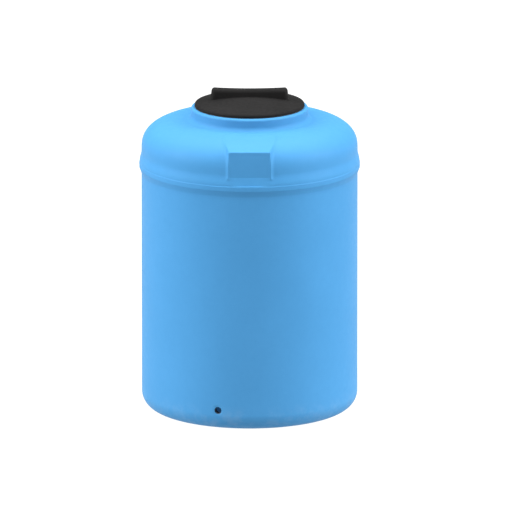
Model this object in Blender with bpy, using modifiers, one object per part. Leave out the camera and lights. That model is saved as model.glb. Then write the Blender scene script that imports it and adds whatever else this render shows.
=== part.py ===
"""Closed upright livestock water tank with a screw lid.

A rotomoulded tank of about 500 litres stands on its flat base. Its front, with the flat inlet
pad on the shoulder, looks along -Y. The lid turns about +Z in a four-start thread and rises as
it turns. Units are metres, and the origin is the middle of the base, on the floor.
"""
import math

import bmesh
import bpy
from mathutils import Matrix, Vector

# ---------------------------------------------------------------- driving dimensions
STEPS = 56                  # facets round the tank and the lid
GAP = 0.0003                # clearance between pieces that touch

WALL = 0.006                # polyethylene wall
BODY_R = 0.395
BASE_ROUND = 0.062
BAND_TOP_Z = 0.9650
BAND_MID_Z = 0.921          # where the band is widest
BAND_EDGE_Z = 0.9035        # the edge under its lower face
BAND_LOW_Z = 0.880
BAND_PROUD = 0.0085
BAND_EDGE_PROUD = 0.0066
SHOULDER_Z = 0.975
DOME_TOP_Z = 1.081
DOME_POWER = 2.487          # superellipse exponent of the shoulder's section

NECK_R = 0.214
NECK_TOP_Z = 1.128
NECK_ROUND = 0.009          # outer edge of the rim
NECK_FOOT_FILLET = 0.020    # where the neck grows out of the dome
NECK_BORE_R = 0.194
NECK_FOLD_Z = 1.086         # lower edge of the neck's inner wall

PAD_Y = -0.391              # the inlet pad's flat face
PAD_HALF = 0.0765
PAD_LOW_Z = 0.952
PAD_TOP_Z = 1.048
PAD_BACK_Y = -0.320
PAD_DRAFT = 0.009           # widening of each side from the face to the back
PAD_RISE = 0.014            # rise of the top from the face to the back

THREAD_STARTS = 4
THREAD_LEAD = 0.048         # rise in one full turn
THREAD_SPAN = math.radians(80)
THREAD_START_Z = 1.104      # middle of a neck thread's lower end
THREAD_SIT = 0.0034         # how far the lid's threads sit below the neck's
THREAD_ROOT_HALF = 0.0020
THREAD_TIP_HALF = 0.0012
THREAD_DEPTH = 0.005
THREAD_STEPS = 10

LID_R = 0.201
LID_WALL = 0.004
LID_SEAT_Z = 1.1310         # underside of the flange
LID_EDGE_Z = 1.1425         # where the crown starts
LID_EDGE_ROUND = 0.004
LID_CROWN = 0.0235
SKIRT_R = 0.187
SKIRT_LOW_Z = 1.093

GASKET_IN_R = 0.1965
GASKET_OUT_R = 0.2005

GRIP_BASE_HALF = 0.1430     # half length where the bar meets the lid
GRIP_TOP_HALF = 0.1375
GRIP_DEPTH = 0.041
GRIP_WAIST = 0.94           # depth at mid-length over depth at the ends
GRIP_LOW_Z = 1.146
GRIP_TOP_Z = 1.1980
GRIP_ROUND = 0.014

OUTLET_ANGLE = math.radians(-17)    # from the front, towards -X
OUTLET_Z = 0.077
OUTLET_BORE_R = 0.0121              # G 3/4, minor radius
OUTLET_HOLE_R = 0.0134              # hole through the skin in front of the bush
OUTLET_SKIN = 0.0035                # polyethylene in front of the bush
OUTLET_BUSH_R = 0.0165
OUTLET_COLLAR_R = 0.0190
OUTLET_LENGTH = 0.024
OUTLET_LAND_R = 0.0205              # flat land round the hole, for a washer
OUTLET_LAND_DIST = 0.3944           # the land from the tank's axis
OUTLET_BOSS_R = 0.0270

VENT_AT = Vector((0.080, 0.048))
VENT_SEAT_Z = 1.1635
VENT_BOSS_R = 0.0190
VENT_BOSS_LOW = 0.0105
VENT_STEM_R = 0.0084
VENT_BORE_R = 0.0050
VENT_FLANGE_R = 0.0150
VENT_CAP_R = 0.0200
VENT_NUT_R = 0.0165         # across corners, from the middle
VENT_STEPS = 24


# ---------------------------------------------------------------- scene and collections
def clear_scene():
    for obj in list(bpy.data.objects):
        bpy.data.objects.remove(obj, do_unlink=True)


def new_collection(name):
    collection = bpy.data.collections.new(name)
    bpy.context.scene.collection.children.link(collection)
    return collection


clear_scene()
PARTS = new_collection("livestock_water_tank")
CUTTERS = new_collection("cutters")


def add_object(name, mesh, location=(0, 0, 0)):
    obj = bpy.data.objects.new(name, mesh)
    obj.location = location
    PARTS.objects.link(obj)
    return obj


def as_tool(obj):
    """Move an object to the cutters, which are not pieces of the tank."""
    PARTS.objects.unlink(obj)
    CUTTERS.objects.link(obj)
    obj.hide_render = True
    obj.display_type = "WIRE"
    return obj


def combine(obj, tool, operation):
    modifier = obj.modifiers.new(operation.lower() + "_" + tool.name, "BOOLEAN")
    modifier.operation = operation
    modifier.solver = "EXACT"
    modifier.object = tool


def give_material(obj, colour, roughness, metallic=0.0):
    material = bpy.data.materials.new(obj.name)
    material.use_nodes = True
    shader = material.node_tree.nodes["Principled BSDF"]
    shader.inputs["Base Color"].default_value = (*colour, 1.0)
    shader.inputs["Roughness"].default_value = roughness
    shader.inputs["Metallic"].default_value = metallic
    obj.data.materials.append(material)


# ---------------------------------------------------------------- shape helpers
def arc(centre, radius, start, end, segments):
    """Points of an arc in the (r, z) plane, angles in degrees from +r."""
    points = []
    for i in range(segments + 1):
        angle = math.radians(start + (end - start) * i / segments)
        points.append((centre[0] + radius * math.cos(angle), centre[1] + radius * math.sin(angle)))
    return points


def turned(name, profile, location=(0, 0, 0), steps=STEPS):
    """A solid of revolution: the (r, z) profile runs down the outer side."""
    bm = bmesh.new()
    verts = [bm.verts.new((r, 0, z)) for r, z in profile]
    for first, second in zip(verts, verts[1:]):
        bm.edges.new((first, second))
    mesh = bpy.data.meshes.new(name)
    bm.to_mesh(mesh)
    bm.free()
    obj = add_object(name, mesh, location)
    screw = obj.modifiers.new("turn", "SCREW")
    screw.axis = "Z"
    screw.steps = steps
    screw.render_steps = steps
    screw.use_merge_vertices = True
    screw.merge_threshold = 0.00001
    return obj


def ring(name, inner, outer, low, high, location=(0, 0, 0), steps=STEPS):
    """A flat-faced ring, whose closed profile goes once round its section."""
    profile = [(inner, high), (outer, high), (outer, low), (inner, low), (inner, high)]
    return turned(name, profile, location, steps)


def rod(name, radius, low, high, location=(0, 0, 0), steps=VENT_STEPS):
    return turned(name, [(0, high), (radius, high), (radius, low), (0, low)], location, steps)


def block(name, size, centre):
    bm = bmesh.new()
    bmesh.ops.create_cube(bm, size=1.0, matrix=Matrix.Translation(centre) @ Matrix.Diagonal((*size, 1)))
    mesh = bpy.data.meshes.new(name)
    bm.to_mesh(mesh)
    bm.free()
    return add_object(name, mesh)


def dome_points(inset, first_r, segments):
    """The shoulder's section from a radius near the neck to the wall, set in by the wall."""
    wide = BODY_R - NECK_R - inset
    tall = DOME_TOP_Z - SHOULDER_Z - inset
    start = math.acos(((first_r - NECK_R) / wide) ** (DOME_POWER / 2))
    points = []
    for i in range(segments + 1):
        angle = start * (1 - i / segments)
        across = wide * math.cos(angle) ** (2 / DOME_POWER)
        up = tall * math.sin(angle) ** (2 / DOME_POWER)
        points.append((NECK_R + across, SHOULDER_Z + up))
    return points


def band_points(segments):
    """The roll band: it swells out of the wall, turns in to an edge and hollows back to the wall."""
    points = []
    for i in range(segments + 1):
        share = i / segments
        swell = 0.5 - 0.5 * math.cos(math.pi * share)
        points.append((BODY_R + BAND_PROUD * swell, BAND_TOP_Z + (BAND_MID_Z - BAND_TOP_Z) * share))
    for i in range(4):
        share = 1 - i / 3
        z = BAND_LOW_Z + (BAND_EDGE_Z - BAND_LOW_Z) * share
        points.append((BODY_R + BAND_EDGE_PROUD * share ** 1.8, z))
    return points


# ---------------------------------------------------------------- tank shell
def outer_profile():
    rim = arc((NECK_R - NECK_ROUND, NECK_TOP_Z - NECK_ROUND), NECK_ROUND, 90, 0, 4)
    foot = arc((BODY_R - BASE_ROUND, BASE_ROUND), BASE_ROUND, 0, -90, 5)
    fillet_mid = (NECK_R + NECK_FOOT_FILLET, DOME_TOP_Z + NECK_FOOT_FILLET)
    fillet = arc(fillet_mid, NECK_FOOT_FILLET, 180, 270, 4)[:-1]
    dome = dome_points(0, fillet_mid[0], 8)
    return [(0, NECK_TOP_Z)] + rim + fillet + dome + band_points(5) + foot + [(0, 0)]


def cavity_profile():
    lip = 0.003
    fold_in = NECK_BORE_R + WALL
    fold_out = NECK_R - WALL
    fold_top = NECK_TOP_Z - WALL - 0.003
    foot_r = BASE_ROUND - WALL
    foot = arc((BODY_R - BASE_ROUND, BASE_ROUND), foot_r, 0, -90, 4)
    neck = [
        (0, NECK_TOP_Z + 0.01),
        (NECK_BORE_R + lip + 0.01, NECK_TOP_Z + 0.01),
        (NECK_BORE_R, NECK_TOP_Z - lip),
        (NECK_BORE_R, NECK_FOLD_Z),
        (fold_in, NECK_FOLD_Z),
        (fold_in, fold_top),
        (fold_out, fold_top),
    ]
    dome = dome_points(WALL, NECK_R, 7)
    dome[0] = (fold_out, DOME_TOP_Z - WALL)
    inner_r = BODY_R - WALL
    band = [
        (inner_r, BAND_TOP_Z),
        (inner_r + BAND_PROUD, BAND_MID_Z),
        (inner_r + BAND_EDGE_PROUD - 0.001, BAND_EDGE_Z),
        (inner_r, BAND_LOW_Z),
    ]
    return neck + dome + band + foot + [(0, WALL)]


def pad_form(name, inset):
    """The inlet pad as a drafted block, and the slab in front of its face."""
    bm = bmesh.new()
    bmesh.ops.create_cube(bm, size=1.0)
    for vert in bm.verts:
        back = vert.co.y > 0
        half = PAD_HALF - inset + (PAD_DRAFT if back else 0)
        top = PAD_TOP_Z - inset + (PAD_RISE if back else 0)
        low = PAD_LOW_Z + inset
        vert.co.x = math.copysign(half, vert.co.x)
        vert.co.z = top if vert.co.z > 0 else low
        vert.co.y = PAD_BACK_Y if back else PAD_Y + inset
    mesh = bpy.data.meshes.new(name)
    bm.to_mesh(mesh)
    bm.free()
    pad = as_tool(add_object(name, mesh))
    slab_low = PAD_LOW_Z - inset - 0.0004
    slab_height = PAD_TOP_Z - slab_low
    slab_depth = 0.02
    slab_mid = (0, PAD_Y + inset - slab_depth / 2, slab_low + slab_height / 2)
    slab_size = (2 * (PAD_HALF - 0.004), slab_depth, slab_height)
    slab = as_tool(block(name + "_slab", slab_size, slab_mid))
    return pad, slab


def thread_ramps(name, root_r, tip_r, start_z, start_angle, span):
    """Four helical thread starts, each swept from a closed section, as one tool."""
    bm = bmesh.new()
    for k in range(THREAD_STARTS):
        angle = start_angle + k * math.tau / THREAD_STARTS
        section = [
            (root_r, -THREAD_ROOT_HALF),
            (tip_r, -THREAD_TIP_HALF),
            (tip_r, THREAD_TIP_HALF),
            (root_r, THREAD_ROOT_HALF),
        ]
        verts = [bm.verts.new((r, 0, start_z + z)) for r, z in section]
        face = bm.faces.new(verts)
        bmesh.ops.rotate(bm, verts=verts, cent=(0, 0, 0), matrix=Matrix.Rotation(angle, 3, "Z"))
        rise = THREAD_LEAD * span / math.tau / THREAD_STEPS
        bmesh.ops.spin(bm, geom=[face], cent=(0, 0, 0), axis=(0, 0, 1), dvec=(0, 0, rise),
                       angle=span, steps=THREAD_STEPS, use_duplicate=False)
    bmesh.ops.recalc_face_normals(bm, faces=bm.faces[:])
    mesh = bpy.data.meshes.new(name)
    bm.to_mesh(mesh)
    bm.free()
    return as_tool(add_object(name, mesh))


def outlet_matrix():
    """Local +Z points out of the wall along the outlet's axis, from the land round the hole."""
    outward = Vector((math.sin(OUTLET_ANGLE), -math.cos(OUTLET_ANGLE), 0))
    turn = Vector((0, 0, 1)).rotation_difference(outward).to_matrix().to_4x4()
    place = outward * OUTLET_LAND_DIST + Vector((0, 0, OUTLET_Z))
    return Matrix.Translation(place) @ turn


def bush_outline(gap, inner_end):
    """The bush's outside: its face behind the skin, its body and the collar that anchors it."""
    collar_top = -0.010
    collar_low = -0.017
    return [
        (OUTLET_BUSH_R + gap, gap - OUTLET_SKIN),
        (OUTLET_BUSH_R + gap, collar_top + gap),
        (OUTLET_COLLAR_R + gap, collar_top + gap),
        (OUTLET_COLLAR_R + gap, collar_low - gap),
        (OUTLET_BUSH_R + gap, collar_low - gap),
        (OUTLET_BUSH_R + gap, inner_end),
    ]


def make_outlet_insert():
    chamfer = 0.0009
    outline = bush_outline(0, -OUTLET_LENGTH)
    bore = [
        (OUTLET_BORE_R, -OUTLET_LENGTH),
        (OUTLET_BORE_R, -OUTLET_SKIN - chamfer),
        (OUTLET_BORE_R + chamfer, -OUTLET_SKIN),
    ]
    profile = outline + bore + [outline[0]]
    insert = turned("outlet_insert", profile, steps=VENT_STEPS)
    insert.matrix_world = outlet_matrix()
    give_material(insert, (0.03, 0.05, 0.08), 0.5)
    return insert


def make_outlet_tools():
    """The boss that holds the bush, the flat land on the wall, and the hole and pocket."""
    boss_inner = -(OUTLET_LENGTH - 0.0005)
    clear = 0.01
    boss = as_tool(rod("outlet_boss", OUTLET_BOSS_R, boss_inner, -0.004))
    land = as_tool(rod("outlet_land", OUTLET_LAND_R, 0, clear))
    hole = [(0, clear), (OUTLET_HOLE_R, clear), (OUTLET_HOLE_R, GAP - OUTLET_SKIN)]
    outline = bush_outline(GAP, -OUTLET_LENGTH - clear)
    pocket_profile = hole + outline + [(0, -OUTLET_LENGTH - clear)]
    pocket = as_tool(turned("outlet_pocket", pocket_profile, steps=VENT_STEPS))
    for tool in (boss, land, pocket):
        tool.matrix_world = outlet_matrix()
    return boss, land, pocket


def make_tank_shell():
    shell = turned("tank_shell", outer_profile())
    cavity = as_tool(turned("cavity", cavity_profile()))
    for form, inset in ((shell, 0.0), (cavity, WALL)):
        pad, slab = pad_form("pad_of_" + form.name, inset)
        combine(form, pad, "UNION")
        combine(form, slab, "DIFFERENCE")
    combine(shell, cavity, "DIFFERENCE")
    root = NECK_BORE_R + 0.002
    ramps = thread_ramps("neck_threads", root, NECK_BORE_R - THREAD_DEPTH, THREAD_START_Z, 0, THREAD_SPAN)
    combine(shell, ramps, "UNION")
    boss, land, pocket = make_outlet_tools()
    combine(shell, boss, "UNION")
    combine(shell, land, "DIFFERENCE")
    combine(shell, pocket, "DIFFERENCE")
    give_material(shell, (0.09, 0.38, 0.72), 0.42)
    return shell


# ---------------------------------------------------------------- lid
def crown_z(radius):
    return LID_EDGE_Z + LID_CROWN * (1 - (radius / (LID_R - LID_EDGE_ROUND)) ** 2)


def lid_profile():
    """The lid's outside: crown, rounded edge, flange and skirt."""
    top_r = LID_R - LID_EDGE_ROUND
    top = [(top_r * i / 5, crown_z(top_r * i / 5)) for i in range(5)]
    edge = arc((top_r, LID_EDGE_Z - LID_EDGE_ROUND), LID_EDGE_ROUND, 90, 0, 3)
    skirt = [(LID_R, LID_SEAT_Z), (SKIRT_R, LID_SEAT_Z), (SKIRT_R, SKIRT_LOW_Z)]
    return top + edge + skirt + [(0, SKIRT_LOW_Z)]


def lid_hollow_profile():
    """The space under the crown and inside the skirt."""
    inner_r = SKIRT_R - LID_WALL
    crown = [(inner_r * i / 4, crown_z(inner_r * i / 4) - LID_WALL) for i in range(5)]
    low = SKIRT_LOW_Z - 0.01
    return crown + [(inner_r, low), (0, low)]


def grip_form(name, inset):
    """The grip bar as a tapered, waisted block with rounded edges."""
    bm = bmesh.new()
    bmesh.ops.create_cube(bm, size=1.0)
    lengthways = [e for e in bm.edges if abs(e.verts[0].co.x - e.verts[1].co.x) > 0.5]
    bmesh.ops.subdivide_edges(bm, edges=lengthways, cuts=3, use_grid_fill=True)
    for vert in bm.verts:
        top = vert.co.z > 0
        half = (GRIP_TOP_HALF if top else GRIP_BASE_HALF) - inset
        along = vert.co.x * 2
        waist = GRIP_WAIST + (1 - GRIP_WAIST) * along ** 2
        vert.co.x = half * along
        vert.co.y = math.copysign(GRIP_DEPTH / 2 * waist - inset, vert.co.y)
        vert.co.z = GRIP_TOP_Z - inset if top else GRIP_LOW_Z - (0.02 if inset else 0)
    mesh = bpy.data.meshes.new(name)
    bm.to_mesh(mesh)
    bm.free()
    form = as_tool(add_object(name, mesh))
    bevel = form.modifiers.new("round", "BEVEL")
    bevel.width = GRIP_ROUND - inset
    bevel.segments = 3
    bevel.limit_method = "ANGLE"
    bevel.angle_limit = math.radians(50)
    return form


def make_lid():
    lid = turned("lid", lid_profile())
    combine(lid, grip_form("grip_outside", 0.0), "UNION")
    combine(lid, as_tool(turned("lid_hollow", lid_hollow_profile())), "DIFFERENCE")
    combine(lid, grip_form("grip_core", LID_WALL), "DIFFERENCE")
    root = SKIRT_R - 0.002
    start = math.radians(5)
    low = THREAD_START_Z - THREAD_SIT + THREAD_LEAD * start / math.tau
    span = THREAD_SPAN - 2 * start
    ramps = thread_ramps("lid_threads", root, SKIRT_R + THREAD_DEPTH, low, start, span)
    combine(lid, ramps, "UNION")
    at = (*VENT_AT, VENT_SEAT_Z)
    combine(lid, as_tool(rod("vent_boss", VENT_BOSS_R, -VENT_BOSS_LOW, 0, at)), "UNION")
    combine(lid, as_tool(rod("vent_hole", VENT_STEM_R + GAP, -0.02, 0.02, at)), "DIFFERENCE")
    give_material(lid, (0.045, 0.043, 0.043), 0.5)
    return lid


def make_lid_gasket():
    gasket = ring("lid_gasket", GASKET_IN_R, GASKET_OUT_R, NECK_TOP_Z + GAP, LID_SEAT_Z - GAP)
    give_material(gasket, (0.02, 0.02, 0.02), 0.8)
    return gasket


# ---------------------------------------------------------------- breather in the lid
def make_breather():
    at = (*VENT_AT, VENT_SEAT_Z)
    seal_top = 0.0018
    flange_low = seal_top + GAP
    flange_top = flange_low + 0.003
    mouth_z = 0.0090
    mouth_r = 0.0100
    screen_r = 0.0085
    screen_low = 0.0076
    stem_low = -0.0215

    seal = ring("breather_seal", VENT_STEM_R + GAP, VENT_FLANGE_R, GAP, seal_top, at, VENT_STEPS)
    give_material(seal, (0.02, 0.02, 0.02), 0.8)

    outside = [(mouth_r, mouth_z), (mouth_r, flange_top), (VENT_FLANGE_R, flange_top)]
    outside += [(VENT_FLANGE_R, flange_low), (VENT_STEM_R, flange_low), (VENT_STEM_R, stem_low)]
    inside = [(VENT_BORE_R, stem_low), (VENT_BORE_R, screen_low - GAP)]
    inside += [(screen_r + GAP, screen_low - GAP), (screen_r + GAP, mouth_z)]
    profile = outside + inside + [outside[0]]
    body = turned("breather_body", profile, at, VENT_STEPS)
    give_material(body, (0.05, 0.05, 0.05), 0.5)

    screen = rod("breather_screen", screen_r, screen_low, screen_low + 0.0008, at)
    holes = []
    for i in range(6):
        turn = math.tau * i / 6
        spot = Vector(at) + Vector((0.0032 * math.cos(turn), 0.0032 * math.sin(turn), 0))
        holes.append(as_tool(rod("screen_hole_%d" % i, 0.0012, 0.002, 0.02, spot, 8)))
    for hole in holes:
        combine(screen, hole, "DIFFERENCE")
    give_material(screen, (0.55, 0.56, 0.57), 0.35, 1.0)

    cap_top = 0.0130
    cap_low = 0.0060
    cap_wall = 0.0018
    roof = arc((VENT_CAP_R - 0.003, cap_top - 0.003), 0.003, 90, 0, 3)
    ceiling = cap_top - cap_wall
    inner = VENT_CAP_R - cap_wall
    profile = [(0, cap_top)] + roof + [(VENT_CAP_R, cap_low), (inner, cap_low)]
    profile += [(inner, ceiling), (0, ceiling)]
    cap = turned("breather_cap", profile, at, VENT_STEPS)
    fin_in = mouth_r + GAP
    fin_out = VENT_CAP_R - 0.001
    for i in range(3):
        fin = as_tool(block("cap_fin_%d" % i, (fin_out - fin_in, 0.0016, 0.0055),
                            ((fin_in + fin_out) / 2, 0, cap_low + 0.0005 + 0.00275)))
        turn = Matrix.Rotation(math.tau * i / 3, 4, "Z")
        fin.matrix_world = Matrix.Translation(at) @ turn
        combine(cap, fin, "UNION")
    give_material(cap, (0.05, 0.05, 0.05), 0.5)

    nut_top = -VENT_BOSS_LOW - GAP
    nut_low = nut_top - 0.008
    nut = rod("breather_nut", VENT_NUT_R, nut_low, nut_top, at, 6)
    bore = as_tool(rod("nut_bore", VENT_STEM_R + GAP, nut_low - 0.002, nut_top + 0.002, at))
    combine(nut, bore, "DIFFERENCE")
    give_material(nut, (0.05, 0.05, 0.05), 0.5)
    return [seal, body, screen, cap, nut]


# ---------------------------------------------------------------- assembly
def assemble():
    make_tank_shell()
    make_outlet_insert()
    gasket = make_lid_gasket()
    lid = make_lid()
    lift = bpy.data.objects.new("lid_lift_axis", None)
    lift.location = (0, 0, NECK_TOP_Z)
    PARTS.objects.link(lift)
    turn = bpy.data.objects.new("lid_turn_axis", None)
    turn.parent = lift
    PARTS.objects.link(turn)
    for piece, axis in [(gasket, lift), (lid, turn)] + [(p, turn) for p in make_breather()]:
        piece.parent = axis
        piece.location = piece.location - lift.location


assemble()
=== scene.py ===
"""Looks of a closed upright livestock water tank with a screw lid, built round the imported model.

The tank's shell, its outlet bush, the lid, the gasket and the vent's pieces are remade as fine
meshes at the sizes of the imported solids. Units are metres, +Z is up and the front looks along -Y.
"""
import math

import bmesh
import bpy
import numpy as np
from mathutils import Matrix, Vector


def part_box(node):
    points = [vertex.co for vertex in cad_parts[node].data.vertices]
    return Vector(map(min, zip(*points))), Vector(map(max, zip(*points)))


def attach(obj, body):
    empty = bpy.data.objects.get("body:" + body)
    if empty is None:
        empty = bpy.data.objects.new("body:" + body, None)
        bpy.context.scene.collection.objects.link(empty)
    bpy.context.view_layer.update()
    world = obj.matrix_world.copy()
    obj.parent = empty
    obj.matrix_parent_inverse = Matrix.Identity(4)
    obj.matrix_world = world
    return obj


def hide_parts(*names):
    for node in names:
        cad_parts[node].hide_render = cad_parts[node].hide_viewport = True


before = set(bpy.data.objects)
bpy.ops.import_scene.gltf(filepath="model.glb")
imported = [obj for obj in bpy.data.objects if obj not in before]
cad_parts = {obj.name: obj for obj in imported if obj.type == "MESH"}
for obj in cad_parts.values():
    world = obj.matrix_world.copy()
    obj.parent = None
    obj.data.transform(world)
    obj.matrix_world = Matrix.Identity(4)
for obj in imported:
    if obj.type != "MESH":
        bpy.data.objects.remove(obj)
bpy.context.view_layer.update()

# ---------------------------------------------------------------- sizes from the frame
SHELL_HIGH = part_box("tank_shell")[1]
LID_LOW, LID_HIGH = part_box("lid")
GASKET_LOW, GASKET_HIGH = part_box("lid_gasket")
CAP_LOW, CAP_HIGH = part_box("breather_cap")

BAND_R = SHELL_HIGH[0]
NECK_TOP_Z = SHELL_HIGH[2]
LID_R = LID_HIGH[0]
GRIP_TOP_Z = LID_HIGH[2]
SKIRT_LOW_Z = LID_LOW[2]

# ---------------------------------------------------------------- shell sizes
WALL = 0.006
BODY_R = BAND_R - 0.0085
BASE_ROUND = 0.062
BAND_TOP_Z = 0.9650
BAND_PARTING_Z = 0.9205      # the mould's parting step, where the band is widest
BAND_EDGE_Z = 0.9037         # the edge between its lower face and its hollow tail
BAND_LOW_Z = 0.880
BAND_SWELL = 0.0071          # how far the swell above the step stands out of the wall
BAND_PARTING_STEP = 0.0014   # how much further the face below the step starts
BAND_PARTING_HALF = 0.0022   # half the height of the parting step
BAND_EDGE_PROUD = 0.0081     # how far the edge stands out of the wall
SHOULDER_Z = 0.975
DOME_TOP_Z = 1.081
DOME_POWER = 2.487           # superellipse exponent of the shoulder's section
NECK_R = 0.214
NECK_ROUND = 0.009           # outer edge of the rim
NECK_FOOT_FILLET = 0.020
NECK_BORE_R = 0.194
NECK_LIP_ROUND = 0.0035      # inner edge of the rim
NECK_LIP_DROP = 0.0008       # how far below the rim's top that edge starts
NECK_FOLD_Z = 1.086          # lower edge of the neck's inner wall

PAD_Y = -0.391               # the inlet pad's flat face
PAD_HALF = 0.0765
PAD_LOW_Z = 0.952
PAD_TOP_Z = 1.048
PAD_DEPTH = 0.071
PAD_DRAFT = 0.009            # widening of each side from the face to the back
PAD_RISE = 0.014             # rise of the top from the face to the back
PAD_SILL = 0.0004            # from the flat's lower edge forward to the ramp
PAD_RAMP = 4.5               # fall of the ramp under the flat for each metre outwards
PAD_BLEND = 0.015            # fillet between the pad and the shoulder
PAD_SIDE_ROUND = 0.006
PAD_LOW_ROUND = 0.004
PAD_FACE_ROUND = 0.0035
PAD_CUT_ROUND = 0.003

THREAD_STARTS = 4
THREAD_LEAD = 0.048          # rise in one full turn
THREAD_DEPTH = 0.005
THREAD_ROOT_HALF = 0.0020
THREAD_TIP_HALF = 0.0012
THREAD_RUNOUT = 0.06         # angle in which a start fades in and out
NECK_THREAD = (1.104, 0.0, math.radians(80))    # height and angle of a start, and its span
NECK_THREAD_ZONE = (1.10, 1.12)
LID_THREAD = (1.1006 + THREAD_LEAD * 5 / 360, math.radians(5), math.radians(70))
LID_THREAD_ZONE = (SKIRT_LOW_Z + 0.002, 1.125)

OUTLET_ANGLE = math.radians(-17)     # from the front, towards -X
OUTLET_Z = 0.077
OUTLET_LAND_DIST = 0.3944            # the land from the tank's axis
OUTLET_LAND_R = 0.0205
OUTLET_HOLE_R = 0.0134
OUTLET_SKIN = 0.0035                 # polyethylene in front of the bush
OUTLET_BUSH_R = 0.0165
OUTLET_COLLAR_R = 0.0190
OUTLET_COLLAR_TOP = -0.010
OUTLET_COLLAR_LOW = -0.017
OUTLET_LENGTH = 0.024
OUTLET_GAP = 0.0003                  # between the bush and its pocket
OUTLET_BOSS_R = 0.0270
OUTLET_BOSS = (-0.004, -0.0235)      # the boss's outer and inner end
PIPE_PITCH = 0.001814                # G 3/4 thread, 14 turns an inch
PIPE_DEPTH = 0.00116
PIPE_MINOR_R = 0.0121

# ---------------------------------------------------------------- lid sizes
LID_WALL = 0.004
LID_SEAT_Z = 1.1310          # underside of the flange
LID_EDGE_Z = 1.1425          # where the crown starts
LID_EDGE_ROUND = 0.0085
LID_CREASE_ROUND = 0.0015    # the flange's lower corners
LID_CROWN = 0.0235
SKIRT_R = 0.187
SKIRT_CHAMFER = 0.001
GASKET_IN_R = 0.1965
GRIP_BASE_HALF = 0.1440      # half length where the bar meets the lid
GRIP_TOP_HALF = 0.1400
GRIP_CORNER = 0.016          # the bar's corners seen from above
GRIP_ROUND = 0.018
GRIP_END_PULL = 0.013        # how far the rounding reaches in from each end
GRIP_SAG = 0.0036
GRIP_FOOT_FILLET = 0.0015
GRIP_BASE_DEPTH = 0.0205     # half depth at the lid
GRIP_TOP_DEPTH = 0.0190
GRIP_WAIST = 0.94            # depth at mid-length over depth at the ends

VENT_AT = (0.080, 0.048, 1.1635)
VENT_BOSS_R = 0.0190
VENT_BOSS_LOW = 0.0105
VENT_STEM_R = 0.0084
VENT_FIN_WIDTH = 0.0016
VENT_FIN_HEIGHT = 0.0055
VENT_PITCH = 0.0015
VENT_THREAD_TOP = -0.0115

# ---------------------------------------------------------------- light
SIDE_STRENGTH = 4.20
SIDE_FORWARD, SIDE_UP = 0.16, 0.42   # where the side lights come from, for 1 to the side
SIDE_SPREAD = 40
TOP_STRENGTH = 6.6
TOP_SPREAD = 90
WORLD_STRENGTH = 0.15
GLOW_WATTS = 1.6             # light that the wall lets through, seen in the outlet


# ---------------------------------------------------------------- mesh helpers
def spaced(start, stop, step):
    """Evenly spaced values from start to stop, no further apart than step."""
    count = max(1, int(math.ceil(abs(stop - start) / step)))
    return [start + (stop - start) * i / count for i in range(count + 1)]


def arc(centre, radius, start, end, segments):
    """Points of an arc in the (r, z) plane, angles in degrees from +r."""
    angles = [math.radians(start + (end - start) * i / segments) for i in range(segments + 1)]
    return [(centre[0] + radius * math.cos(a), centre[1] + radius * math.sin(a)) for a in angles]


def mesh_from_loops(name, loops, close_start, close_end):
    """Skins closed loops of equal length; an end is closed by a fan ("fan"), a ladder or not."""
    count = len(loops[0])
    bm = bmesh.new()
    rows = [[bm.verts.new(p) for p in loop] for loop in loops]
    for first, second in zip(rows, rows[1:]):
        for i in range(count):
            j = (i + 1) % count
            bm.faces.new((first[i], first[j], second[j], second[i]))
    for row, close in ((rows[0], close_start), (rows[-1], close_end)):
        if close == "fan":
            middle = bm.verts.new(sum((v.co for v in row), Vector()) / count)
            for i in range(count):
                bm.faces.new((row[i], row[(i + 1) % count], middle))
        if close == "ladder":
            for i in range(count // 2):
                quad = [row[i], row[i + 1], row[(-i - 1) % count], row[-i % count]]
                bm.faces.new(list(dict.fromkeys(quad)))
    if close_start is None and close_end is None:
        for i in range(count):
            j = (i + 1) % count
            bm.faces.new((rows[-1][i], rows[-1][j], rows[0][j], rows[0][i]))
    bmesh.ops.recalc_face_normals(bm, faces=bm.faces[:])
    mesh = bpy.data.meshes.new(name)
    bm.to_mesh(mesh)
    bm.free()
    return new_object(name, mesh)


def new_object(name, mesh):
    obj = bpy.data.objects.new(name, mesh)
    bpy.context.scene.collection.objects.link(obj)
    return obj


def even_angles(count):
    return np.arange(count) * math.tau / count


def level_loop(radius, z, angles):
    """A loop at one height; the radius is one value or a value for each angle."""
    return np.stack([radius * np.cos(angles), radius * np.sin(angles), np.full(len(angles), z)], axis=1)


def turned_loops(profile, angles):
    return [level_loop(r, z, angles) for r, z in profile]


def turned(name, profile, count=96, place=None):
    """A closed ring of section profile, or a solid where the profile ends on the axis."""
    on_axis = profile[0][0] == 0
    points = profile[1:-1] if on_axis else profile
    close = "fan" if on_axis else None
    obj = mesh_from_loops(name, turned_loops(points, even_angles(count)), close, close)
    if place is not None:
        obj.data.transform(place)
    return obj


def rounded(corners, radius, segments=3):
    """A closed (r, z) outline with its corners rounded."""
    points = []
    count = len(corners)
    for i in range(count):
        corner = Vector(corners[i])
        before = (Vector(corners[i - 1]) - corner).normalized()
        after = (Vector(corners[(i + 1) % count]) - corner).normalized()
        for k in range(segments + 1):
            t = k / segments
            start, end = corner + before * radius, corner + after * radius
            point = start * (1 - t) ** 2 + corner * 2 * t * (1 - t) + end * t ** 2
            points.append(tuple(point))
    return points


def combine(obj, tool, operation):
    """Applies an exact Boolean at once and removes the tool."""
    modifier = obj.modifiers.new(operation, "BOOLEAN")
    modifier.operation = operation
    modifier.solver = "EXACT"
    modifier.object = tool
    depsgraph = bpy.context.evaluated_depsgraph_get()
    mesh = bpy.data.meshes.new_from_object(obj.evaluated_get(depsgraph))
    obj.modifiers.clear()
    old, obj.data = obj.data, mesh
    bpy.data.meshes.remove(old)
    bpy.data.objects.remove(tool)


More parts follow.
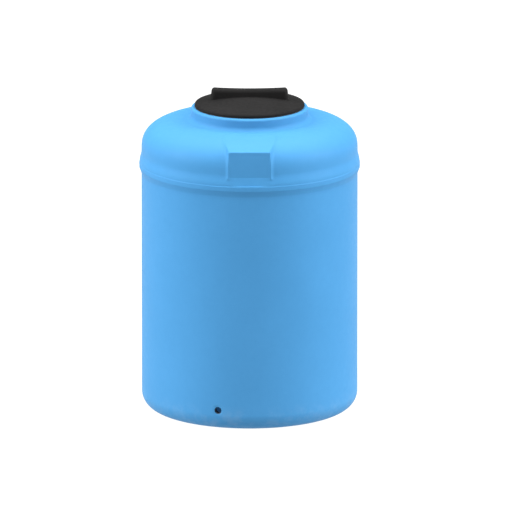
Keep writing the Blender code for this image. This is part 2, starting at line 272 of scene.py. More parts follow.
def smooth(obj, sharp_angle):
    obj.data.shade_smooth()
    obj.data.set_sharp_from_angle(angle=math.radians(sharp_angle))


def smooth_max(a, b, width):
    h = np.clip(0.5 + 0.5 * (a - b) / width, 0, 1)
    return b + (a - b) * h + width * h * (1 - h)


def smooth_min(a, b, width):
    return -smooth_max(-a, -b, width)


def thread_height(loop, thread):
    """How far the thread stands from its wall at each point of a loop, from 0 to 1."""
    start_z, start_angle, span = thread
    around = np.arctan2(loop[:, 1], loop[:, 0])
    height = np.zeros(len(loop))
    for k in range(THREAD_STARTS):
        along = (around - start_angle - k * math.tau / THREAD_STARTS) % math.tau
        middle = start_z + THREAD_LEAD * along / math.tau
        away = np.abs(loop[:, 2] - middle)
        flank = np.clip((THREAD_ROOT_HALF - away) / (THREAD_ROOT_HALF - THREAD_TIP_HALF), 0, 1)
        ends = np.clip(along / THREAD_RUNOUT, 0, 1) * np.clip((span - along) / THREAD_RUNOUT, 0, 1)
        height = np.maximum(height, flank * np.where(along < span, ends, 0))
    return height


def push_thread(loops, thread, zone, outward):
    """Raises the thread starts on the loops of a wall between the two heights of a zone."""
    for loop in loops:
        if zone[0] < loop[0, 2] < zone[1]:
            radius = np.hypot(loop[:, 0], loop[:, 1])
            moved = radius + outward * THREAD_DEPTH * thread_height(loop, thread)
            loop[:, :2] *= (moved / radius)[:, None]


# ---------------------------------------------------------------- tank shell
def dome_outline(inset, first_r, step):
    """The shoulder's section from near the neck down to the wall."""
    wide = BODY_R - NECK_R - inset
    tall = DOME_TOP_Z - SHOULDER_Z - inset
    start = math.acos(((first_r - NECK_R) / wide) ** (DOME_POWER / 2))
    points = []
    for angle in spaced(start, 0, step):
        across = wide * math.cos(angle) ** (2 / DOME_POWER)
        up = tall * max(math.sin(angle), 0) ** (2 / DOME_POWER)
        points.append((NECK_R + across, SHOULDER_Z + up))
    return points


def band_swell(z):
    """How far the roll band stands out of the wall at a height above its parting line."""
    share = (BAND_TOP_Z - z) / (BAND_TOP_Z - BAND_PARTING_Z - BAND_PARTING_HALF)
    return BAND_SWELL * (0.5 - 0.5 * np.cos(math.pi * np.clip(share, 0, 1)))


def band_outline():
    """The roll band: a soft swell, the mould's parting step, an edge and a hollow tail."""
    swell_z = spaced(BAND_TOP_Z, BAND_PARTING_Z + BAND_PARTING_HALF, 0.0018)
    points = [(BODY_R + float(band_swell(z)), z) for z in swell_z]
    for share in spaced(0, 1, 0.125)[1:]:
        step = 0.5 - 0.5 * math.cos(math.pi * share)
        z = BAND_PARTING_Z + BAND_PARTING_HALF * (1 - 2 * share)
        points.append((BODY_R + BAND_SWELL + BAND_PARTING_STEP * step, z))
    widest, from_z = BAND_SWELL + BAND_PARTING_STEP, BAND_PARTING_Z - BAND_PARTING_HALF
    for z in spaced(from_z, BAND_EDGE_Z, 0.0012)[1:]:
        share = (from_z - z) / (from_z - BAND_EDGE_Z)
        points.append((BODY_R + widest - (widest - BAND_EDGE_PROUD) * share ** 2, z))
    for share in spaced(1, 0, 0.05)[1:]:
        z = BAND_LOW_Z + (BAND_EDGE_Z - BAND_LOW_Z) * share
        points.append((BODY_R + BAND_EDGE_PROUD * share ** 1.25, z))
    return points


def outer_outline():
    lip_r = NECK_BORE_R + NECK_LIP_ROUND
    rim = [(lip_r, NECK_TOP_Z - NECK_LIP_DROP), (lip_r + 0.0015, NECK_TOP_Z)]
    rim += arc((NECK_R - NECK_ROUND, NECK_TOP_Z - NECK_ROUND), NECK_ROUND, 90, 0, 10)
    fillet_mid = (NECK_R + NECK_FOOT_FILLET, DOME_TOP_Z + NECK_FOOT_FILLET)
    fillet = arc(fillet_mid, NECK_FOOT_FILLET, 180, 270, 10)[:-1]
    dome = dome_outline(0, fillet_mid[0], 0.0125)
    band = band_outline()
    upper_wall = [(BODY_R, z) for z in spaced(SHOULDER_Z, band[0][1], 0.004)[1:-1]]
    wall = [(BODY_R, z) for z in spaced(band[-1][1], BASE_ROUND, 0.012)[1:-1]]
    foot = arc((BODY_R - BASE_ROUND, BASE_ROUND), BASE_ROUND, 0, -90, 20)
    base = [(r, 0) for r in spaced(BODY_R - BASE_ROUND, 0.03, 0.05)[1:]]
    return rim + fillet + dome + upper_wall + band + wall + foot + base


def inner_outline():
    """From the middle of the floor up to the inner edge of the rim."""
    fold_in = NECK_BORE_R + WALL
    fold_out = NECK_R - WALL
    fold_top = NECK_TOP_Z - WALL - 0.003
    floor = [(r, WALL) for r in spaced(0.03, BODY_R - BASE_ROUND, 0.08)]
    foot = arc((BODY_R - BASE_ROUND, BASE_ROUND), BASE_ROUND - WALL, -90, 0, 10)[1:]
    wall = [(BODY_R - WALL, z) for z in spaced(BASE_ROUND, SHOULDER_Z, 0.05)[1:-1]]
    dome = dome_outline(WALL, NECK_R + 0.002, 0.06)[::-1]
    fold = [(fold_out, DOME_TOP_Z - WALL + 0.006)]
    fold += arc(((fold_in + fold_out) / 2, fold_top - 0.004), 0.004, 0, 180, 6)
    fold += [(fold_in, NECK_FOLD_Z + 0.0005), (fold_in - 0.0005, NECK_FOLD_Z)]
    edge = [(NECK_BORE_R + 0.0005, NECK_FOLD_Z), (NECK_BORE_R, NECK_FOLD_Z + 0.0005)]
    bore_z = spaced(NECK_FOLD_Z + 0.0005, NECK_TOP_Z - 0.0035, 0.0007)[1:]
    bore = [(NECK_BORE_R, z) for z in bore_z]
    lip_mid = (NECK_BORE_R + NECK_LIP_ROUND, NECK_TOP_Z - NECK_LIP_DROP - NECK_LIP_ROUND)
    lip = arc(lip_mid, NECK_LIP_ROUND, 180, 90, 4)[1:-1]
    return floor + foot + wall + dome + fold + edge + bore + lip


def dome_distance(p):
    """Signed distance to the band's upper side, the wall and the shoulder, exact on the surface."""
    radius = np.hypot(p[:, 0], p[:, 1]) - band_swell(p[:, 2])
    across = np.maximum(radius - NECK_R, 1e-6) / (BODY_R - NECK_R)
    up = np.maximum(p[:, 2] - SHOULDER_Z, 1e-6) / (DOME_TOP_Z - SHOULDER_Z)
    level = (across ** DOME_POWER + up ** DOME_POWER) ** (1 / DOME_POWER)
    slope_r = (across / level) ** (DOME_POWER - 1) / (BODY_R - NECK_R)
    slope_z = (up / level) ** (DOME_POWER - 1) / (DOME_TOP_Z - SHOULDER_Z)
    return (level - 1) / np.hypot(slope_r, slope_z)


def pad_distance(p):
    """Signed distance to the drafted inlet pad, its edges rounded."""
    x, y, z = np.abs(p[:, 0]), p[:, 1] - PAD_Y, p[:, 2]
    side = ((x - PAD_HALF) * PAD_DEPTH - y * PAD_DRAFT) / math.hypot(PAD_DEPTH, PAD_DRAFT)
    top = ((z - PAD_TOP_Z) * PAD_DEPTH - y * PAD_RISE) / math.hypot(PAD_DEPTH, PAD_RISE)
    edges = smooth_max(smooth_max(side, top, PAD_SIDE_ROUND), PAD_LOW_Z - z, PAD_LOW_ROUND)
    return smooth_max(edges, -y, PAD_FACE_ROUND)


def shoulder_distance(p):
    """The shoulder with the pad grown out of it, and its flat and the ramp under it cut in."""
    solid = smooth_min(dome_distance(p), pad_distance(p), PAD_BLEND)
    below = PAD_LOW_Z - p[:, 2]
    ramp = (below - PAD_RAMP * (PAD_Y - PAD_SILL - p[:, 1])) / math.hypot(1, PAD_RAMP)
    in_front = np.maximum(np.abs(p[:, 0]) - PAD_HALF, np.minimum(below, ramp))
    in_front = np.maximum(in_front, p[:, 1] - PAD_Y)
    return smooth_max(solid, -in_front, PAD_CUT_ROUND)


def grow_pad(loops, angles):
    """Moves the shoulder's points along rays onto the surface that includes the pad."""
    middle = np.array([0.0, 0.0, 0.93])
    near = np.abs((angles + math.pi / 2 + math.pi) % math.tau - math.pi) < math.radians(20)
    for loop in loops:
        wide = np.hypot(loop[0, 0], loop[0, 1]) > 0.25
        if not (wide and BAND_PARTING_Z + BAND_PARTING_HALF < loop[0, 2] < DOME_TOP_Z):
            continue
        start = loop[near]
        ray = start - middle
        ray /= np.linalg.norm(ray, axis=1)[:, None]
        reach = np.linspace(-0.012, 0.09, 103)
        values = np.array([shoulder_distance(start + ray * t) for t in reach])
        inside = values < 0
        last = len(reach) - 1 - np.argmax(inside[::-1], axis=0)
        last = np.clip(last, 0, len(reach) - 2)
        column = np.arange(len(start))
        here, there = values[last, column], values[last + 1, column]
        travel = reach[last] + (reach[1] - reach[0]) * here / (here - there)
        loop[near] = start + ray * travel[:, None]


def outlet_place():
    """Local +Z points out of the wall along the outlet's axis, from the land round the hole."""
    outward = Vector((math.sin(OUTLET_ANGLE), -math.cos(OUTLET_ANGLE), 0))
    turn = Vector((0, 0, 1)).rotation_difference(outward).to_matrix().to_4x4()
    return Matrix.Translation(outward * OUTLET_LAND_DIST + Vector((0, 0, OUTLET_Z))) @ turn


def bush_outline(gap, inner_end):
    """The bush's outside, with the collar that anchors it, grown by a gap."""
    body_r, collar_r = OUTLET_BUSH_R + gap, OUTLET_COLLAR_R + gap
    top, low = OUTLET_COLLAR_TOP + gap, OUTLET_COLLAR_LOW - gap
    return [(body_r, gap - OUTLET_SKIN), (body_r, top), (collar_r, top), (collar_r, low), (body_r, low),
            (body_r, inner_end)]


def build_shell():
    front = math.radians(-90)
    fine = math.radians(20)
    angles = spaced(front - fine, front + fine, math.radians(0.4))
    angles += spaced(front + fine, front - fine + math.tau, math.radians(1.6))[1:-1]
    angles = np.array(angles)
    inner = turned_loops(inner_outline(), angles)
    outer = turned_loops(outer_outline(), angles)
    push_thread(inner, NECK_THREAD, NECK_THREAD_ZONE, -1)
    grow_pad(outer, angles)
    shell = mesh_from_loops("tank_shell_skin", inner + outer, "fan", "fan")
    place = outlet_place()
    boss_top, boss_low = OUTLET_BOSS
    boss = [(0, boss_top), (OUTLET_BOSS_R, boss_top), (OUTLET_BOSS_R, boss_low), (0, boss_low)]
    combine(shell, turned("boss_tool", boss, 64, place), "UNION")
    land = [(0, 0.02), (OUTLET_LAND_R, 0.02), (OUTLET_LAND_R, 0)]
    edge = [(OUTLET_HOLE_R + 0.0008, 0), (OUTLET_HOLE_R + 0.0003, -0.0002), (OUTLET_HOLE_R, -0.0007)]
    pocket = [(OUTLET_HOLE_R, OUTLET_GAP - OUTLET_SKIN)] + bush_outline(OUTLET_GAP, -0.04) + [(0, -0.04)]
    combine(shell, turned("hole_tool", land + edge + pocket, 64, place), "DIFFERENCE")
    smooth(shell, 40)
    return shell


# ---------------------------------------------------------------- outlet bush
def build_outlet():
    """The bush: a face behind the skin, an anchoring collar and a real pipe thread in the bore."""
    face = -OUTLET_SKIN
    chamfer = 0.0005
    lead_in = 0.0012
    angles = even_angles(72)
    outside = [(OUTLET_HOLE_R, face), (OUTLET_BUSH_R - chamfer, face), (OUTLET_BUSH_R, face - chamfer)]
    outside += bush_outline(0, -OUTLET_LENGTH)[1:]
    loops = turned_loops(outside, angles)
    for z in spaced(-OUTLET_LENGTH, face - lead_in / 2, PIPE_PITCH / 8):
        phase = (z / PIPE_PITCH - angles / math.tau) % 1
        wave = 1 - np.abs(2 * phase - 1)
        runout = np.clip((z + OUTLET_LENGTH) / 0.001, 0, 1)
        threaded = PIPE_MINOR_R + PIPE_DEPTH * wave * runout
        loops.append(level_loop(np.maximum(threaded, PIPE_MINOR_R + (z - face + lead_in)), z, angles))
    bush = mesh_from_loops("outlet_bush", loops, None, None)
    bush.data.transform(outlet_place())
    smooth(bush, 35)
    return bush


# ---------------------------------------------------------------- lid
def crown_z(radius):
    return LID_EDGE_Z + LID_CROWN * (1 - (radius / (LID_R - LID_EDGE_ROUND)) ** 2)


def bar_outline(half_length, half_depth, corner, count):
    """A waisted bar's outline seen from above, its points evenly spaced from the +X end."""
    dense = []
    for centre_x, centre_y, start in ((1, 1, 0), (-1, 1, 90), (-1, -1, 180), (1, -1, 270)):
        middle = (centre_x * (half_length - corner), centre_y * (half_depth - corner))
        dense += arc(middle, corner, start, start + 90, 16)
    dense = np.array(dense + dense[:1])
    dense = np.vstack([[half_length, 0], dense[:-1], [half_length, 0]])
    steps = np.hypot(*np.diff(dense, axis=0).T)
    travelled = np.concatenate([[0], np.cumsum(steps)])
    at = np.arange(count) / count * travelled[-1]
    x = np.interp(at, travelled, dense[:, 0])
    y = np.interp(at, travelled, dense[:, 1])
    y *= GRIP_WAIST + (1 - GRIP_WAIST) * (x / half_length) ** 2
    return x, y


def stack(x, y, z):
    return np.stack([x, y, np.broadcast_to(z, x.shape)], axis=1)


def top_loops(inset, count):
    """The lid's upper surface from the middle of the grip bar out to the crown's edge.

    With an inset it is the hollow underside, set in by the wall's thickness.
    """
    corner = GRIP_CORNER - inset * 0.8
    round_r = GRIP_ROUND - inset
    fillet = GRIP_FOOT_FILLET
    loops = []
    for turn in spaced(90, 0, 9):
        cos, sin = math.cos(math.radians(turn)), math.sin(math.radians(turn))
        pulled = round_r * (1 - cos)
        end_pulled = (GRIP_END_PULL - inset) * (1 - cos)
        x, y = bar_outline(GRIP_TOP_HALF - inset - end_pulled, GRIP_TOP_DEPTH - inset - pulled,
                           max(corner - pulled, 0.001), count)
        sag = GRIP_SAG * (1 - (x / (GRIP_TOP_HALF - GRIP_END_PULL)) ** 2)
        loops.append(stack(x, y, GRIP_TOP_Z - inset - sag - round_r * (1 - sin)))
    shoulder = loops[-1][:, 2]
    for share in spaced(0, 1, 0.2)[1:]:
        x, y = bar_outline(GRIP_TOP_HALF + (GRIP_BASE_HALF - GRIP_TOP_HALF) * share - inset,
                           GRIP_TOP_DEPTH + (GRIP_BASE_DEPTH - GRIP_TOP_DEPTH) * share - inset,
                           corner, count)
        foot = crown_z(np.hypot(x, y)) - inset + fillet
        loops.append(stack(x, y, shoulder + (foot - shoulder) * share))
    for turn in spaced(0, 90, 18)[1:]:
        out = fillet * (1 - math.cos(math.radians(turn)))
        up = fillet * (1 - math.sin(math.radians(turn)))
        x, y = bar_outline(GRIP_BASE_HALF - inset + out, GRIP_BASE_DEPTH - inset + out, corner + out, count)
        loops.append(stack(x, y, crown_z(np.hypot(x, y)) - inset + up))
    bar_x, bar_y = loops[-1][:, 0], loops[-1][:, 1]
    around = even_angles(count)
    reach = LID_R - LID_EDGE_ROUND if inset == 0 else SKIRT_R - LID_WALL - 0.003
    for share in spaced(0, 1, 0.04 if inset == 0 else 0.1)[1:]:
        x = bar_x + (reach * np.cos(around) - bar_x) * share
        y = bar_y + (reach * np.sin(around) - bar_y) * share
        loops.append(stack(x, y, crown_z(np.hypot(x, y)) - inset))
    return loops


def build_lid():
    count = 240
    around = even_angles(count)
    edge_mid = (LID_R - LID_EDGE_ROUND, LID_EDGE_Z - LID_EDGE_ROUND)
    rim = arc(edge_mid, LID_EDGE_ROUND, 90, 0, 8)[1:]
    crease = LID_CREASE_ROUND
    rim += arc((LID_R - crease, LID_SEAT_Z + crease), crease, 0, -90, 4)
    rim += arc((SKIRT_R + crease, LID_SEAT_Z - crease), crease, 90, 180, 4)
    foot_z = SKIRT_LOW_Z + SKIRT_CHAMFER
    skirt = [(SKIRT_R, z) for z in spaced(LID_SEAT_Z - crease, foot_z, 0.0007)[1:]]
    inner_r = SKIRT_R - LID_WALL
    skirt += [(SKIRT_R - SKIRT_CHAMFER, SKIRT_LOW_Z), (inner_r + SKIRT_CHAMFER, SKIRT_LOW_Z)]
    under_z = crown_z(inner_r) - LID_WALL
    skirt += [(inner_r, foot_z)] + [(inner_r, z) for z in spaced(foot_z, under_z - 0.003, 0.008)[1:]]
    wall = turned_loops(rim + skirt, around)
    push_thread(wall[len(rim):], LID_THREAD, LID_THREAD_ZONE, 1)
    loops = top_loops(0.0, count) + wall + top_loops(LID_WALL, count)[::-1]
    lid = mesh_from_loops("screw_lid_skin", loops, "ladder", "ladder")
    place = Matrix.Translation(VENT_AT)
    boss = [(0, 0)] + arc((VENT_BOSS_R - 0.001, -0.001), 0.001, 90, 0, 3)
    boss += [(VENT_BOSS_R, -VENT_BOSS_LOW), (0, -VENT_BOSS_LOW)]
    combine(lid, turned("vent_boss_tool", boss, 72, place), "UNION")
    hole = [(0, 0.02), (VENT_STEM_R + 0.0003, 0.02), (VENT_STEM_R + 0.0003, -0.02), (0, -0.02)]
    combine(lid, turned("vent_hole_tool", hole, 48, place), "DIFFERENCE")
    smooth(lid, 38)
    return lid


def build_gasket():
    outer, low, top = GASKET_HIGH[0], GASKET_LOW[2], GASKET_HIGH[2]
    corners = [(GASKET_IN_R, top), (outer, top), (outer, low), (GASKET_IN_R, low)]
    gasket = turned("gasket_ring", rounded(corners, 0.0006), 240)
    smooth(gasket, 60)
    return gasket


# ---------------------------------------------------------------- breather
def build_vent_cap():
    """The rain cap, a shallow mushroom with three fins that grip the vent's mouth."""
    cap_r = (CAP_HIGH[0] - CAP_LOW[0]) / 2
    top = CAP_HIGH[2] - VENT_AT[2]
    low = CAP_LOW[2] - VENT_AT[2]
    wall = 0.0018
    roof = [(0, top), (cap_r * 0.45, top - 0.0002)]
    roof += arc((cap_r - 0.0035, top - 0.0045), 0.0035, 75, 0, 6)
    skirt = [(cap_r, low + 0.0004), (cap_r - 0.0004, low), (cap_r - wall + 0.0004, low)]
    ceiling = [(cap_r - wall, low + 0.0004), (cap_r - wall, top - 0.004), (cap_r - wall - 0.002, top - wall)]
    cap = turned("vent_cap_dome", roof + skirt + ceiling + [(0, top - wall)], 96)
    fin_in, fin_out = 0.0103, cap_r - 0.001
    for k in range(3):
        bm = bmesh.new()
        middle = Vector(((fin_in + fin_out) / 2, 0, low + 0.0005 + VENT_FIN_HEIGHT / 2))
        size = Matrix.Diagonal((fin_out - fin_in, VENT_FIN_WIDTH, VENT_FIN_HEIGHT, 1))
        bmesh.ops.create_cube(bm, size=1.0, matrix=Matrix.Translation(middle) @ size)
        bm.transform(Matrix.Rotation(math.tau * k / 3, 4, "Z"))
        mesh = bpy.data.meshes.new("fin_tool")
        bm.to_mesh(mesh)
        bm.free()
        combine(cap, new_object("fin_tool", mesh), "UNION")
    cap.data.transform(Matrix.Translation(VENT_AT))
    smooth(cap, 35)
    return cap


def build_vent_body():
    """The vent's stem with its flange, its open mouth and a fine thread on the stem."""
    flange_low, flange_top, flange_r = 0.0021, 0.0051, 0.0150
    mouth_r, mouth_z = 0.0100, 0.0090
    stem_low, bore_r = -0.0215, 0.0050
    outline = [(mouth_r - 0.0004, mouth_z), (mouth_r, mouth_z - 0.0004), (mouth_r, flange_top + 0.0005)]
    outline += [(mouth_r + 0.0005, flange_top), (flange_r - 0.0006, flange_top)]
    outline += [(flange_r, flange_top - 0.0006), (flange_r, flange_low), (VENT_STEM_R, flange_low)]
    for i, z in enumerate(spaced(VENT_THREAD_TOP, stem_low + 0.001, VENT_PITCH / 2)):
        outline.append((VENT_STEM_R - 0.0007 * (i % 2), z))
    outline += [(VENT_STEM_R - 0.001, stem_low), (bore_r, stem_low), (bore_r, 0.0073)]
    outline += [(0.0088, 0.0073), (0.0088, mouth_z)]
    body = turned("vent_body_stem", outline, 96, Matrix.Translation(VENT_AT))
    smooth(body, 30)
    return body


def build_vent_nut():
    """A chamfered hexagon nut on the stem, under the lid."""
    across, bore = 0.0165, 0.0087
    top = -VENT_BOSS_LOW - 0.0003
    low = top - 0.008
    angles = even_angles(72)
    sixth = math.tau / 6
    flat = across * math.cos(sixth / 2)
    hexagon = flat / np.cos((angles % sixth) - sixth / 2)
    chamfer = np.minimum(hexagon, flat + 0.0006)
    loops = []
    for radius, z in ((chamfer, top), (hexagon, top - 0.0009), (hexagon, low + 0.0009), (chamfer, low)):
        loops.append(level_loop(radius, z, angles))
    hole = [(bore + 0.0006, low), (bore, low + 0.0006), (bore, top - 0.0006), (bore + 0.0006, top)]
    loops += turned_loops(hole, angles)
    nut = mesh_from_loops("vent_nut_hex", loops, None, None)
    nut.data.transform(Matrix.Translation(VENT_AT))
    smooth(nut, 30)
    return nut


# ---------------------------------------------------------------- material helpers
class Shader:
    """A material's Principled shader and short calls for the nodes that feed it."""

    def __init__(self, name, roughness, metallic=0.0, ior=1.5, gloss=0.5):
        self.material = bpy.data.materials.new(name)
        self.material.use_nodes = True
        self.tree = self.material.node_tree
        self.shader = self.tree.nodes["Principled BSDF"]
        self.shader.inputs["Roughness"].default_value = roughness
        self.shader.inputs["Metallic"].default_value = metallic
        self.shader.inputs["IOR"].default_value = ior
        self.shader.inputs["Specular IOR Level"].default_value = gloss
        self.where = self.tree.nodes.new("ShaderNodeTexCoord").outputs["Object"]

    def link(self, source, target):
        self.tree.links.new(source, target)

    def scaled(self, stretch):
        node = self.tree.nodes.new("ShaderNodeMapping")
        node.inputs["Scale"].default_value = stretch
        self.link(self.where, node.inputs["Vector"])
        return node.outputs["Vector"]

    def noise(self, scale, detail=2.0, stretch=None, roughness=0.5):
        node = self.tree.nodes.new("ShaderNodeTexNoise")
        node.inputs["Scale"].default_value = scale
        node.inputs["Detail"].default_value = detail
        node.inputs["Roughness"].default_value = roughness
        self.link(self.scaled(stretch) if stretch else self.where, node.inputs["Vector"])
        return node.outputs["Fac"]

    def spots(self, scale):
        node = self.tree.nodes.new("ShaderNodeTexVoronoi")
        node.inputs["Scale"].default_value = scale
        self.link(self.where, node.inputs["Vector"])
        return node.outputs["Distance"]

    def height(self):
        node = self.tree.nodes.new("ShaderNodeSeparateXYZ")
        self.link(self.where, node.inputs["Vector"])
        return node.outputs["Z"]

    def ramp(self, value, low, high, to_low=0.0, to_high=1.0):
        node = self.tree.nodes.new("ShaderNodeMapRange")
        node.inputs["From Min"].default_value = low
        node.inputs["From Max"].default_value = high
        node.inputs["To Min"].default_value = to_low
        node.inputs["To Max"].default_value = to_high
        self.link(value, node.inputs["Value"])
        return node.outputs["Result"]

    def times(self, first, second):
        node = self.tree.nodes.new("ShaderNodeMath")
        node.operation = "MULTIPLY"
        self.link(first, node.inputs[0])
        self.link(second, node.inputs[1])
        return node.outputs["Value"]

    def mix(self, share, first, second):
        """Mixes two colours; each is a colour or another node's output."""
        node = self.tree.nodes.new("ShaderNodeMix")
        node.data_type = "RGBA"
        self.link(share, node.inputs["Factor"])
        for socket, colour in ((node.inputs[6], first), (node.inputs[7], second)):
            if isinstance(colour, tuple):
                socket.default_value = (*colour, 1.0)
            else:
                self.link(colour, socket)
        return node.outputs[2]

    def bump(self, value, depth, below=None):
        """A bump of the given depth in metres, on top of another bump."""
        node = self.tree.nodes.new("ShaderNodeBump")
        node.inputs["Strength"].default_value = 1.0
        node.inputs["Distance"].default_value = depth
        self.link(value, node.inputs["Height"])
        if below is not None:
            self.link(below, node.inputs["Normal"])
        return node.outputs["Normal"]

    def finish(self, colour=None, roughness=None, normal=None):
        for socket, source in (("Base Color", colour), ("Roughness", roughness), ("Normal", normal)):
            if source is not None:
                self.link(source, self.shader.inputs[socket])
        return self.material


# ---------------------------------------------------------------- materials
def polyethylene():
    """Rotomoulded blue polyethylene: even colour, a soft sheen and a fine orange-peel skin."""
    s = Shader("rotomoulded_polyethylene", 0.5, gloss=0.06)
    cloud = s.ramp(s.noise(4.0, 3.0), 0.35, 0.65)
    base = s.mix(cloud, (0.0455, 0.193, 0.390), (0.0485, 0.202, 0.407))
    grain = s.ramp(s.noise(420.0, 2.0), 0.35, 0.7)
    base = s.mix(s.times(grain, s.ramp(s.noise(40.0), 0.3, 0.7, 0.0, 0.5)), base, (0.0403, 0.176, 0.361))
    low_down = s.ramp(s.height(), 0.0, 0.10, 1.0, 0.0)
    dust = s.times(low_down, s.ramp(s.noise(22.0, 5.0, roughness=0.7), 0.45, 0.75, 0.0, 0.16))
    base = s.mix(dust, base, (0.45, 0.50, 0.55))
    rough = s.ramp(s.noise(60.0, 4.0), 0.3, 0.7, 0.46, 0.55)
    normal = s.bump(s.noise(7.0, 2.0), 0.0015)
    normal = s.bump(s.noise(230.0, 2.0), 0.00016, normal)
    normal = s.bump(s.ramp(s.spots(620.0), 0.0, 0.35), 0.00003, normal)
    scuffs = s.ramp(s.noise(14.0, 6.0, stretch=(7.0, 7.0, 0.35), roughness=0.8), 0.62, 0.80, 0.0, 1.0)
    normal = s.bump(scuffs, -0.00005, normal)
    return s.finish(base, rough, normal)


def lid_plastic():
    """Black moulded polypropylene with a fine sparked texture and faint wear."""
    s = Shader("black_moulded_plastic", 0.65, gloss=0.06)
    cloud = s.ramp(s.noise(12.0, 4.0), 0.35, 0.7)
    base = s.mix(cloud, (0.0080, 0.0078, 0.0078), (0.0102, 0.0098, 0.0098))
    wear = s.ramp(s.noise(70.0, 6.0, roughness=0.75), 0.62, 0.78, 0.0, 0.35)
    base = s.mix(wear, base, (0.015, 0.0145, 0.0145))
    rough = s.ramp(s.noise(90.0, 3.0), 0.3, 0.7, 0.60, 0.74)
    normal = s.bump(s.noise(900.0, 2.0), 0.00006)
    normal = s.bump(s.noise(30.0, 2.0), 0.0003, normal)
    return s.finish(base, rough, normal)


def vent_plastic():
    """The vent's smoother black plastic."""
    s = Shader("vent_moulded_plastic", 0.65, gloss=0.08)
    base = s.mix(s.ramp(s.noise(160.0, 3.0), 0.35, 0.7), (0.013, 0.013, 0.014), (0.019, 0.019, 0.020))
    rough = s.ramp(s.noise(300.0, 2.0), 0.3, 0.7, 0.60, 0.72)
    return s.finish(base, rough, s.bump(s.noise(1500.0), 0.00003))


def seal_rubber():
    """Matte black rubber with a dusty bloom."""
    s = Shader("seal_rubber_black", 0.8)
    bloom = s.ramp(s.noise(140.0, 5.0, roughness=0.7), 0.45, 0.75, 0.0, 0.5)
    base = s.mix(bloom, (0.012, 0.012, 0.012), (0.040, 0.040, 0.040))
    rough = s.ramp(s.noise(200.0), 0.3, 0.7, 0.72, 0.88)
    return s.finish(base, rough, s.bump(s.noise(1100.0), 0.00004))


def insert_nylon():
    """Glass-filled nylon, its short fibres just visible; its dark navy colour is painted shade that stands
    in for the shadow inside the outlet's bore.
    """
    s = Shader("insert_nylon_painted_bore_shade", 0.45, gloss=0.3)
    fibre = s.ramp(s.noise(900.0, 4.0, stretch=(1.0, 4.0, 1.0), roughness=0.7), 0.45, 0.70)
    # the two dark navy colours are painted shade, standing in for the shadow deep in the bore
    base = s.mix(fibre, (0.012, 0.036, 0.070), (0.022, 0.052, 0.092))
    rough = s.ramp(s.noise(400.0, 3.0), 0.3, 0.7, 0.38, 0.55)
    return s.finish(base, rough, s.bump(s.noise(1600.0), 0.00002))


def screen_steel():
    """Stainless insect screen, with a woven relief."""
    s = Shader("screen_steel_mesh", 0.3, metallic=1.0)
    weave = s.spots(1800.0)
    base = s.mix(s.ramp(weave, 0.1, 0.5), (0.62, 0.63, 0.64), (0.20, 0.21, 0.22))
    rough = s.ramp(s.noise(700.0), 0.3, 0.7, 0.25, 0.40)
    return s.finish(base, rough, s.bump(weave, 0.0001))


def dress(piece, material):
    piece.data.materials.clear()
    piece.data.materials.append(material)


# ---------------------------------------------------------------- pieces on their bodies
def place_pieces():
    blue, black, vent = polyethylene(), lid_plastic(), vent_plastic()
    rubber = seal_rubber()
    plan = [
        (build_shell(), "tank", "tank_shell", "tank_polyethylene", blue),
        (build_outlet(), "tank", "outlet_insert", "insert_nylon", insert_nylon()),
        (build_gasket(), "seal_ring", "lid_gasket", "seal_rubber", rubber),
        (build_lid(), "screw_lid", "lid", "lid_plastic", black),
        (build_vent_cap(), "screw_lid", "breather_cap", "vent_plastic", vent),
        (build_vent_body(), "screw_lid", "breather_body", "vent_plastic", vent),
        (build_vent_nut(), "screw_lid", "breather_nut", "vent_plastic", vent),
    ]
    for piece, body, node, slot, material in plan:
        dress(piece, material)
        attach(piece, body)
        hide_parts(node)
    dress(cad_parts["breather_seal"], rubber)
    dress(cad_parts["breather_screen"], screen_steel())


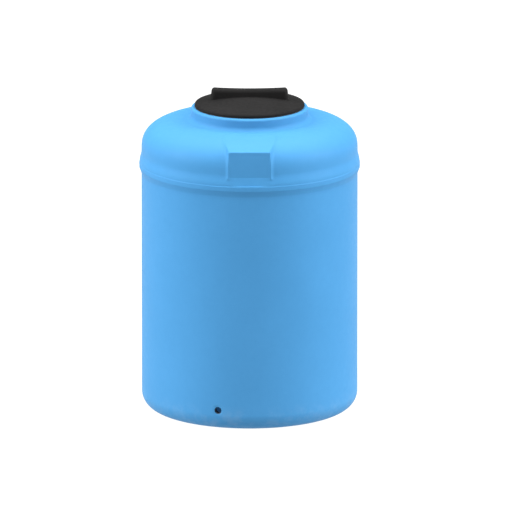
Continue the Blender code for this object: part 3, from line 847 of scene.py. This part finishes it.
# ---------------------------------------------------------------- stage, light and camera
def build_floor():
    bm = bmesh.new()
    bmesh.ops.create_grid(bm, x_segments=1, y_segments=1, size=40.0)
    mesh = bpy.data.meshes.new("floor")
    bm.to_mesh(mesh)
    bm.free()
    floor = new_object("studio_floor", mesh)
    floor.location.z = -0.0005      # just clear of the tank's flat base
    s = Shader("pale_floor", 0.9)
    s.shader.inputs["Base Color"].default_value = (0.05, 0.05, 0.05, 1)
    s.shader.inputs["Emission Color"].default_value = (1, 1, 1, 1)
    s.shader.inputs["Emission Strength"].default_value = 1.0
    dress(floor, s.material)


def broad_light(name, comes_from, strength, spread):
    """An even, soft light from one direction, as wide as its spread in degrees."""
    light = bpy.data.lights.new(name, "SUN")
    light.energy = strength
    light.angle = math.radians(spread)
    obj = bpy.data.objects.new(name, light)
    obj.rotation_euler = Vector(comes_from).to_track_quat("Z", "Y").to_euler()
    bpy.context.scene.collection.objects.link(obj)


def light_studio():
    world = bpy.data.worlds.new("studio")
    world.use_nodes = True
    background = world.node_tree.nodes["Background"]
    background.inputs["Color"].default_value = (1, 1, 1, 1)
    background.inputs["Strength"].default_value = WORLD_STRENGTH
    bpy.context.scene.world = world
    for name, side in (("left_light", -1.0), ("right_light", 1.0)):
        broad_light(name, (side, -SIDE_FORWARD, SIDE_UP), SIDE_STRENGTH, SIDE_SPREAD)
    broad_light("top_light", (0.0, 0.0, 1.0), TOP_STRENGTH, TOP_SPREAD)
    glow = bpy.data.lights.new("glow_through_wall", "POINT")
    glow.energy = GLOW_WATTS
    glow.shadow_soft_size = 0.10
    inside = bpy.data.objects.new("glow_through_wall", glow)
    inside.location = (0, 0, 0.45)
    bpy.context.scene.collection.objects.link(inside)
    bpy.context.scene.view_settings.view_transform = "Standard"


def add_camera():
    """A long lens from the front, 14 degrees above the horizontal."""
    distance = 60.0
    frame_width = 1.940
    elevation = math.radians(14)
    aim = Vector((0.0563, 0, 0.530))
    data = bpy.data.cameras.new("camera")
    data.sensor_width = 36.0
    data.lens = data.sensor_width * distance / frame_width
    camera = bpy.data.objects.new("camera", data)
    camera.location = aim + Vector((0, -math.cos(elevation), math.sin(elevation))) * distance
    camera.rotation_euler = (math.pi / 2 - elevation, 0, 0)
    data.clip_end = 300.0
    bpy.context.scene.collection.objects.link(camera)
    bpy.context.scene.camera = camera


place_pieces()
build_floor()
light_studio()
add_camera()
